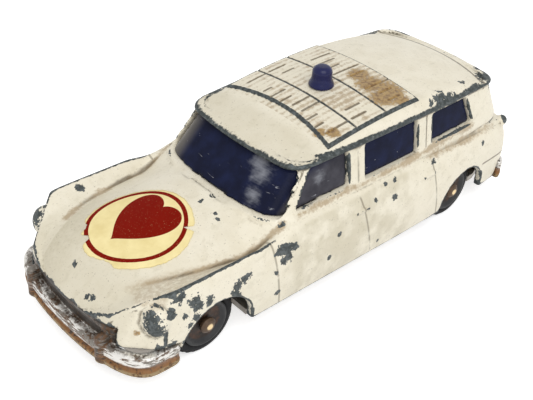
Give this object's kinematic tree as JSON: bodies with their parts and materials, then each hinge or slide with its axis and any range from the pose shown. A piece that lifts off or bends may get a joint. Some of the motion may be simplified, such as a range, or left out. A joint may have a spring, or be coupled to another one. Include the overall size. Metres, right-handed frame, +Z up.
{
  "type": "toy ambulance",
  "caption": "Small die-cast toy estate car made up as an ambulance, with a blue roof beacon, a roof rack, dark blue windows and free-running wheels on pin axles.",
  "frame": {"origin": "on the ground under the middle of the car's bounding box", "axes": "+X forward to the nose, +Y to the car's left side, +Z up"},
  "size_m": [0.068, 0.025, 0.0238],
  "materials": {
    "paint": "cream gloss enamel, chipped to dark metal",
    "base": "plain, dull",
    "plating": "worn bright plating with brown recesses",
    "glazing": "dark blue, glossy, scratched",
    "beacon": "deep blue, glossy",
    "label": "printed paper, satin",
    "axle": "yellowed, bright at the heads",
    "rivet": "plain",
    "hub": "brown, tarnished",
    "tyre": "matt black, moulded tread"
  },
  "bodies": {
    "car": {"body_shell": "paint", "base_plate": "base", "front_bumper": "plating", "rear_bumper": "plating", "window_glazing": "glazing", "roof_beacon": "beacon", "bonnet_label": "label", "front_rivet": "rivet", "rear_rivet": "rivet"},
    "axle_front": {"front_axle": "axle"},
    "axle_rear": {"rear_axle": "axle"},
    "wheel_front_left": {"hub_front_left": "hub", "tyre_front_left": "tyre"},
    "wheel_front_right": {"hub_front_right": "hub", "tyre_front_right": "tyre"},
    "wheel_rear_left": {"hub_rear_left": "hub", "tyre_rear_left": "tyre"},
    "wheel_rear_right": {"hub_rear_right": "hub", "tyre_rear_right": "tyre"}
  },
  "joints": [
    {"name": "front_axle_turn", "type": "hinge", "parent": "car", "child": "axle_front", "pos_m": [0.0217, 0, 0.0043], "axis": [0, 1, 0], "continuous": true},
    {"name": "rear_axle_turn", "type": "hinge", "parent": "car", "child": "axle_rear", "pos_m": [-0.0209, 0, 0.0043], "axis": [0, 1, 0], "continuous": true},
    {"name": "wheel_front_left_turn", "type": "hinge", "parent": "axle_front", "child": "wheel_front_left", "pos_m": [0.0217, 0.0089, 0.0043], "axis": [0, 1, 0], "continuous": true},
    {"name": "wheel_front_right_turn", "type": "hinge", "parent": "axle_front", "child": "wheel_front_right", "pos_m": [0.0217, -0.0089, 0.0043], "axis": [0, 1, 0], "continuous": true},
    {"name": "wheel_rear_left_turn", "type": "hinge", "parent": "axle_rear", "child": "wheel_rear_left", "pos_m": [-0.0209, 0.0089, 0.0043], "axis": [0, 1, 0], "continuous": true},
    {"name": "wheel_rear_right_turn", "type": "hinge", "parent": "axle_rear", "child": "wheel_rear_right", "pos_m": [-0.0209, -0.0089, 0.0043], "axis": [0, 1, 0], "continuous": true}
  ]
}
